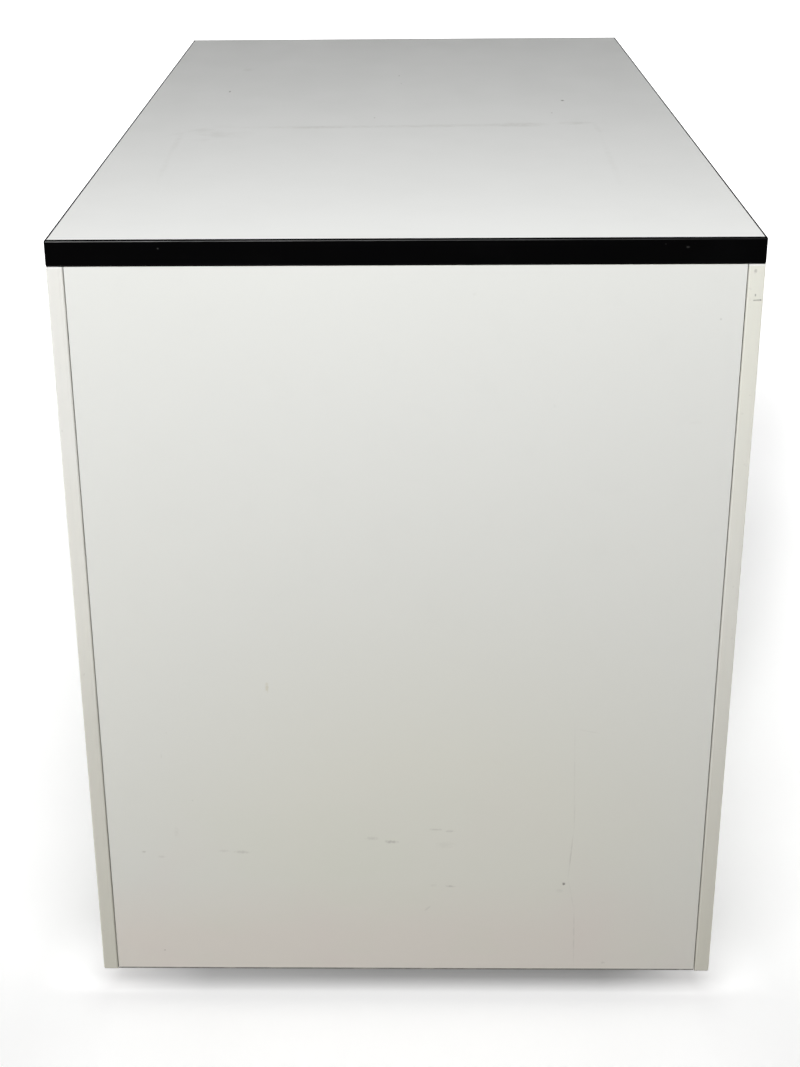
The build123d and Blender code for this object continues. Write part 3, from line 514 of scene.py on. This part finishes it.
# Where it gets a painted highlight: on the rounding, by how far that faces up, and not at the corners of the
# top
BAND_HIGHLIGHT_GRAY = (0.19, 0.19, 0.19)
BAND_HIGHLIGHT_UP_LEAST = (0.10, 0.20)
BAND_HIGHLIGHT_UP_MOST = (0.50, 0.40)
BAND_HIGHLIGHT_SIDEWAYS = (0.3, 0.1)
BAND_HIGHLIGHT_ACROSS = (-0.18, 0.18, 0.12, 1.0)
BAND_HIGHLIGHT_HEIGHT = (TOP_Z - 10 * MM, TOP_Z - 6 * MM, 0.05, 1.0)
BAND_HIGHLIGHT_PATCHES = Pattern(25.0, 3.0, 0.3, 0.6, out_low=0.5)


def black_band():
    """Black plastic: deep matt faces, and a painted highlight on the rounding along its upper edge."""
    band = Material("black_edge_band", BAND_BLACK, BAND_ROUGHNESS, specular=BAND_SPECULAR)
    band.tint(band.mask(BAND_CLOUDS), BAND_CLOUD)
    add_marks(band, BAND_SPECKS, on_wall(STRIP_Y), SPECK_REACH)
    across, _, height = band.parts(band.place)
    up = band.facing("Z")
    rounding = band.product(band.span(up, *BAND_HIGHLIGHT_UP_LEAST), band.span(up, *BAND_HIGHLIGHT_UP_MOST))
    band_highlight = band.product(rounding, band.span(band.facing("X"), *BAND_HIGHLIGHT_SIDEWAYS),
                          band.span(across, *BAND_HIGHLIGHT_ACROSS), band.span(height, *BAND_HIGHLIGHT_HEIGHT),
                          band.mask(BAND_HIGHLIGHT_PATCHES))
    # Painted highlight: paler grey on the upper rounding
    band.tint(band_highlight, BAND_HIGHLIGHT_GRAY)
    band.uneven_roughness(swing=0.06, noise=band.noise(scale=90.0, detail=4.0))
    band.grain(scale=1500.0, detail=2.0, depth=0.02 * MM)
    return band.finish()


# Metals and plastics

POWDER_GRAY = (0.70, 0.71, 0.72)
POWDER_CLOUDS = Pattern(9.0, 3.0, 0.4, 0.75, out_high=0.03)
POWDER_SCUFFS = Pattern(75.0, 6.0, 0.68, 0.74, out_high=0.10, stretch=(1.0, 0.15, 1.0))
RAIL_ZINC = (0.64, 0.65, 0.67)
SCREW_ZINC = (0.60, 0.60, 0.60)
ZINC_CLOUDS = Pattern(55.0, 4.0, 0.4, 0.7, out_high=0.5)
ZINC_CLOUD_LEVEL = 0.82
CAST_ZINC = (0.60, 0.60, 0.61)
CAST_CLOUDS = Pattern(260.0, 4.0, 0.4, 0.75, out_high=0.25)
CHROME = (0.56, 0.56, 0.56)
CHROME_ROUGHNESS = Pattern(260.0, 8.0, 0.45, 0.75, out_low=0.14, out_high=0.34, stretch=(1.0, 0.2, 6.0))
GRIP_BLACK = (0.016, 0.016, 0.017)
TRAY_BLACK = (0.040, 0.040, 0.043)
FORK_BLACK = (0.024, 0.024, 0.026)
PLASTIC_SPECULAR = 0.3
PLASTIC_CLOUDS = Pattern(20.0, 4.0, 0.5, 0.8, out_high=0.4)
PLASTIC_CLOUD_LEVEL = 1.7
DUST = (0.35, 0.34, 0.32)
PLASTIC_DUST = Pattern(420.0, 5.0, 0.64, 0.76, out_high=0.08)
WHEEL_BLACK = (0.045, 0.045, 0.048)
FLOOR_DUST = (0.26, 0.245, 0.22)
WHEEL_DUST = Pattern(90.0, 6.0, 0.48, 0.72, out_high=0.30)


def powder_coat():
    steel = Material("powder_coat", POWDER_GRAY, roughness=0.45)
    steel.shade(steel.mask(POWDER_CLOUDS))
    steel.shade(steel.mask(POWDER_SCUFFS))
    steel.uneven_roughness(swing=0.06, noise=steel.noise(scale=30.0, detail=4.0))
    steel.grain(scale=480.0, detail=1.0, depth=0.05 * MM)
    return steel.finish()


def zinc(name, color, roughness, stretch):
    """Plated steel with drawn streaks and cloudy patches."""
    metal = Material(name, color, roughness, metallic=1.0)
    metal.tint(metal.mask(ZINC_CLOUDS), [level * ZINC_CLOUD_LEVEL for level in color])
    streaks = metal.noise(scale=900.0, detail=2.0, stretch=stretch)
    metal.uneven_roughness(swing=0.08, noise=streaks)
    metal.bump(streaks, depth=0.015 * MM)
    return metal.finish()


def cast_zinc():
    metal = Material("cast_zinc", CAST_ZINC, roughness=0.48, metallic=1.0)
    metal.shade(metal.mask(CAST_CLOUDS))
    metal.uneven_roughness(swing=0.10, noise=metal.noise(scale=300.0, detail=4.0))
    metal.grain(scale=1300.0, detail=3.0, depth=0.05 * MM)
    return metal.finish()


def chrome():
    metal = Material("chrome", CHROME, metallic=1.0)
    metal.roughness = metal.mask(CHROME_ROUGHNESS)
    metal.grain(scale=2200.0, detail=2.0, depth=0.004 * MM)
    return metal.finish()


def black_plastic(name, color, roughness, grain_scale):
    """Moulded plastic with a fine eroded grain and a little dust."""
    plastic = Material(name, color, roughness, specular=PLASTIC_SPECULAR)
    plastic.tint(plastic.mask(PLASTIC_CLOUDS), [level * PLASTIC_CLOUD_LEVEL for level in color])
    plastic.tint(plastic.mask(PLASTIC_DUST), DUST)
    plastic.uneven_roughness(swing=0.07, noise=plastic.noise(scale=120.0, detail=4.0))
    plastic.grain(grain_scale, detail=3.0, depth=0.06 * MM)
    return plastic.finish()


def wheel_plastic():
    plastic = Material("wheel_nylon", WHEEL_BLACK, roughness=0.50)
    plastic.tint(plastic.mask(WHEEL_DUST), FLOOR_DUST)
    plastic.uneven_roughness(swing=0.10, noise=plastic.noise(scale=160.0, detail=4.0))
    plastic.grain(scale=700.0, detail=4.0, depth=0.05 * MM)
    return plastic.finish()


# Every piece gets its own material, or else that of its slot in the record

ALONG_Y = (1.0, 0.015, 1.0)         # draws streaks out along y

slot_materials = {
    "white_melamine": plain_board("melamine"),
    "white_edge": edge_band("white_edge_band"),
    "black_edge": black_band(),
    "drawer_steel": powder_coat(),
    "rail_steel": zinc("zinc_rail", RAIL_ZINC, roughness=0.30, stretch=ALONG_Y),
    "screw_steel": zinc("zinc_screw", SCREW_ZINC, roughness=0.34, stretch=EVEN),
    "cam_zinc": cast_zinc(),
    "lock_chrome": chrome(),
    "grip_plastic": black_plastic("grip_plastic", GRIP_BLACK, roughness=0.48, grain_scale=1400.0),
    "tray_plastic": black_plastic("tray_plastic", TRAY_BLACK, roughness=0.52, grain_scale=1000.0),
    "fork_nylon": black_plastic("fork_nylon", FORK_BLACK, roughness=0.42, grain_scale=1200.0),
    "wheel_nylon": wheel_plastic(),
}
own_materials = {
    "top_panel": top_board(),
    "back_panel": back_board(),
    "side_panel_left": plain_board("side_melamine", "X"),
    "bottom_panel": plain_board("bottom_melamine", "Z"),
    "rear_edge_bands": edge_band("rear_strip_band", rear=True),
}
own_materials["side_panel_right"] = own_materials["side_panel_left"]
for subpart in frame["record"]["subparts"]:
    name = subpart["node"]
    for slot in nodes[name].material_slots:
        slot.material = own_materials.get(name) or slot_materials[subpart["material_slot"]]


# Camera, fitted to the straight edges of the pedestal in the photograph

CAMERA_PLACE = Vector((0.00004, 1.39833, 0.79693))
CAMERA_YAW = radians(1.286)
CAMERA_PITCH = radians(23.202)
CAMERA_ROLL = radians(-0.582)
CAMERA_LENS = 59.316
CAMERA_SHIFT = (0.02972, -0.017)
SENSOR = 36.0


def make_camera():
    up = Vector((0, 0, 1))
    level_look = Vector((sin(CAMERA_YAW), -cos(CAMERA_YAW), 0))
    level_right = Vector((-cos(CAMERA_YAW), -sin(CAMERA_YAW), 0))
    look = level_look * cos(CAMERA_PITCH) - up * sin(CAMERA_PITCH)
    tilted_up = level_look * sin(CAMERA_PITCH) + up * cos(CAMERA_PITCH)
    right = level_right * cos(CAMERA_ROLL) + tilted_up * sin(CAMERA_ROLL)
    camera_up = tilted_up * cos(CAMERA_ROLL) - level_right * sin(CAMERA_ROLL)
    data = bpy.data.cameras.new("photo_camera")
    data.sensor_fit = "VERTICAL"
    data.sensor_height = SENSOR
    data.lens = CAMERA_LENS
    data.shift_x, data.shift_y = CAMERA_SHIFT
    camera = bpy.data.objects.new("photo_camera", data)
    bpy.context.scene.collection.objects.link(camera)
    turn = Matrix((right, camera_up, -look)).transposed().to_4x4()
    camera.matrix_world = Matrix.Translation(CAMERA_PLACE) @ turn
    bpy.context.scene.camera = camera


# Lamps and world

KEY_PLACE = (0.02, 1.20, 1.40)
KEY_TARGET = (0.0, 0.20, 0.40)
KEY_WIDTH = 1.3
KEY_DEPTH = 0.8
KEY_POWER = 19.3
FILL_HEIGHT = 0.32                  # the fills stay under the level of the top, which the key alone models
FILL_BAND = 0.3
SIDE_FILL_PLACE = (2.2, -0.2)
SIDE_FILL_WIDTH = 1.6
SIDE_FILL_POWER = 25.0
FRONT_FILL_DISTANCE = 9.0           # far away, so that the fronts of opened and closed drawers are lit alike
FRONT_FILL_WIDTH = 4.8
FRONT_FILL_POWER = 500.0
UPPER_FILL_PLACE = (0.1, -1.5, 1.7)     # above the opened drawers
UPPER_FILL_TARGET = (0.0, -0.75, 0.4)
UPPER_FILL_SIZE = 1.2
UPPER_FILL_POWER = 7.0
BACK_FILL_HEIGHT = 0.38
BACK_FILL_TARGET = (0.0, 0.40, 0.30)
BACK_FILL_WIDTH = 0.3
BACK_FILLS = ((0.75, 0.80, 1.25), (-0.75, 0.80, 0.08))      # x, y and power
AMBIENT = 0.13                      # the world's strength, except where its own white shows


def area_light(name, place, target, width, height, power):
    data = bpy.data.lights.new(name, "AREA")
    data.shape = "RECTANGLE"
    data.size = width
    data.size_y = height
    data.energy = power
    light = bpy.data.objects.new(name, data)
    light.location = place
    light.rotation_euler = (Vector(target) - Vector(place)).to_track_quat("-Z", "Y").to_euler()
    light.visible_camera = False
    light.visible_glossy = False
    bpy.context.scene.collection.objects.link(light)
    return light


def all_but(name, left_out):
    """A light's collection that leaves some objects unlit by it."""
    lit = bpy.data.collections.new(name)
    for index, item in enumerate(left_out):
        lit.objects.link(item)
        lit.collection_objects[index].light_linking.link_state = "EXCLUDE"
    return lit


def make_lights(floor):
    """The fills leave out the floor, where they would draw streaks. The upper one leaves out the top too."""
    area_light("key", KEY_PLACE, KEY_TARGET, KEY_WIDTH, KEY_DEPTH, KEY_POWER)
    target = (0.0, 0.0, FILL_HEIGHT)
    fills = [area_light("fill_front", (0.0, -FRONT_FILL_DISTANCE, FILL_HEIGHT), target, FRONT_FILL_WIDTH,
                        FILL_BAND, FRONT_FILL_POWER)]
    for side in (-1, 1):
        x, y = SIDE_FILL_PLACE
        fills.append(area_light("fill_side", (side * x, y, FILL_HEIGHT), target, SIDE_FILL_WIDTH, FILL_BAND,
                                SIDE_FILL_POWER))
    for x, y, power in BACK_FILLS:
        fills.append(area_light("fill_back", (x, y, BACK_FILL_HEIGHT), BACK_FILL_TARGET, BACK_FILL_WIDTH,
                                FILL_BAND, power))
    object_only = all_but("object_only", [floor])
    for fill in fills:
        fill.light_linking.receiver_collection = object_only
    upper = area_light("fill_upper", UPPER_FILL_PLACE, UPPER_FILL_TARGET, UPPER_FILL_SIZE, UPPER_FILL_SIZE,
                       UPPER_FILL_POWER)
    top = [nodes[name] for name in ("top_panel", "top_edge_bands_front_rear", "top_edge_bands_side")]
    upper.light_linking.receiver_collection = all_but("under_the_top", [floor, *top])


def make_world():
    world = bpy.data.worlds.new("studio")
    bpy.context.scene.world = world
    world.use_nodes = True
    world.node_tree.nodes.clear()
    make = Nodes(world.node_tree)
    strength = make.span(make.seen(), 0.0, 1.0, AMBIENT, 1.0)
    light = make.add("ShaderNodeBackground", {"Color": (1.0, 1.0, 1.0, 1.0), "Strength": strength})
    make.add("ShaderNodeOutputWorld", {"Surface": light.outputs[0]})


# Floor: what it throws back on the object, and what it shows

FLOOR_HALF = 8.0
FLOOR_BOUNCE = (0.27, 0.245, 0.21)
FLOOR_SHOWN = (0.81, 0.81, 0.81)

# Its own glow keeps it white where the key fades or is hidden. The ranges are of y, of the distance to the
# object's outline, or of how far past the outline a place is, which is less than 0 under the object.
GLOW_CLOSE = 0.31                           # at the foot of the object
GLOW_BESIDE = (0.44, 0.20, 0.0, 0.22)       # by y: more of it towards the front, which the key lights less
GLOW_FRONT = (0.14, -0.55, 0.0, 0.22)
GLOW_BEYOND = (-0.55, -2.0, 0.0, 0.14)
GLOW_FRONT_FOOT = (0.0, 0.14, 0.25, 1.0)    # by distance: of that, less at the foot
GLOW_UNDER = (-0.12, -0.015, 0.15, 1.0)     # by how far past: less under the object
GLOW_MIDDLE = (0.08, 0.35, 0.0, 0.11)       # by distance: more on every side, near
GLOW_FAR = (0.25, 1.6, 0.0, 0.61)           # and far away

# More of it under the two ends of the back: ranges of the distance from the middle, of y and of x
ENDS_FROM = (0.14, 0.20, 0.0, 0.22)
ENDS_TO = (0.20, 0.26, 1.0, 0.0)
ENDS_REAR = (0.396, 0.384, 0.2, 1.0)
ENDS_FRONT = (0.30, 0.35)
ENDS_SIDE = (-0.1, 0.1, 0.85, 1.0)
ENDS_CORNER = (0.185, 0.21, 1.0, 1.2)

# Less of it under the back, mostly on the side of the shade below: ranges of x, of how far past the outline,
# and of the distance from the middle
DIP = 0.034
DIP_PLUS = (0.18, 0.02, -1.7 * DIP, DIP)
DIP_MINUS = (0.02, -0.14, 0.0, 0.8 * DIP)
DIP_EDGE = (-0.014, -0.026)
DIP_DEEPER = (-0.026, -0.034, 0.0, 1.2 * DIP)
DIP_ACROSS = (0.20, 0.16)

# The photograph's soft shade, on the floor beyond one side of the object: a wedge that starts under the key,
# with ranges of its slant and of y
SHADE_OUTER = (0.29, 0.23, 0.0, 0.22)
SHADE_INNER = (0.12, 0.23)
SHADE_NEAR = (0.10, -0.20)
SHADE_FAR = (-1.5, -0.7)

# Less glow in front where an opened drawer hangs over the floor: ranges of the open sky above, and of y
SKY_DISTANCE = 0.25
SKY_SAMPLES = 12
SKY_COVERED = (0.1, 0.55, 0.6, 0.0)
SKY_FRONT = (-0.40, -0.44)


def floor_glow(make):
    """The floor's own light by place: least at the object's foot and under it, and white far away."""
    x, y, _ = make.parts(make.add("ShaderNodeNewGeometry").outputs["Position"])
    across = make.math("ABSOLUTE", x)
    out_x = make.math("SUBTRACT", across, cad_box[1].x)
    out_y = make.math("SUBTRACT", make.math("ABSOLUTE", y), cad_box[1].y)
    past = make.math("MAXIMUM", out_x, out_y)
    past_x = make.math("MAXIMUM", out_x, 0.0)
    past_y = make.math("MAXIMUM", out_y, 0.0)
    distance = make.math("SQRT", make.total(make.product(past_x, past_x), make.product(past_y, past_y)))

    front = make.total(make.span(y, *GLOW_BESIDE), make.span(y, *GLOW_FRONT), make.span(y, *GLOW_BEYOND))
    front = make.product(front, make.smooth(distance, *GLOW_FRONT_FOOT))
    glow = make.product(make.total(front, GLOW_CLOSE), make.smooth(past, *GLOW_UNDER))
    ends = make.product(make.span(across, *ENDS_FROM), make.span(across, *ENDS_TO),
                        make.span(y, *ENDS_REAR), make.span(y, *ENDS_FRONT),
                        make.span(x, *ENDS_SIDE), make.span(x, *ENDS_CORNER))
    dip = make.total(make.span(x, *DIP_PLUS), make.span(x, *DIP_MINUS))
    dip = make.product(dip, make.span(past, *DIP_EDGE))
    dip = make.total(dip, make.span(past, *DIP_DEEPER))
    dip = make.product(dip, make.span(across, *DIP_ACROSS))
    glow = make.math("SUBTRACT", make.total(glow, ends), dip)
    glow = make.total(glow, make.smooth(distance, *GLOW_MIDDLE), make.smooth(distance, *GLOW_FAR))

    slant = make.math("DIVIDE", x, make.math("SUBTRACT", y, KEY_PLACE[1]))
    shade = make.product(make.smooth(slant, *SHADE_OUTER), make.smooth(slant, *SHADE_INNER),
                         make.smooth(y, *SHADE_NEAR), make.smooth(y, *SHADE_FAR))
    glow = make.math("SUBTRACT", glow, shade)
    sky = make.add("ShaderNodeAmbientOcclusion", {"Distance": SKY_DISTANCE}, samples=SKY_SAMPLES)
    covered = make.product(make.span(sky.outputs["AO"], *SKY_COVERED), make.span(y, *SKY_FRONT))
    return make.product(glow, make.math("SUBTRACT", 1.0, covered))


def make_floor():
    half = FLOOR_HALF
    mesh = bpy.data.meshes.new("floor")
    corners = [(-half, -half, 0), (half, -half, 0), (half, half, 0), (-half, half, 0)]
    mesh.from_pydata(corners, [], [(0, 1, 2, 3)])
    floor = bpy.data.objects.new("floor", mesh)
    bpy.context.scene.collection.objects.link(floor)
    material = bpy.data.materials.new("floor_white")
    material.use_nodes = True
    material.node_tree.nodes.clear()
    make = Nodes(material.node_tree)
    seen = make.seen()
    color = make.mix(seen, (*FLOOR_BOUNCE, 1.0), (*FLOOR_SHOWN, 1.0))
    diffuse = make.add("ShaderNodeBsdfDiffuse", {"Color": color})
    emission = make.add("ShaderNodeEmission", {"Strength": make.product(floor_glow(make), seen)})
    both = make.add("ShaderNodeAddShader", {0: diffuse.outputs[0], 1: emission.outputs[0]})
    make.add("ShaderNodeOutputMaterial", {"Surface": both.outputs[0]})
    mesh.materials.append(material)
    return floor


make_camera()
make_world()
make_lights(make_floor())
bpy.context.scene.view_settings.view_transform = "Standard"
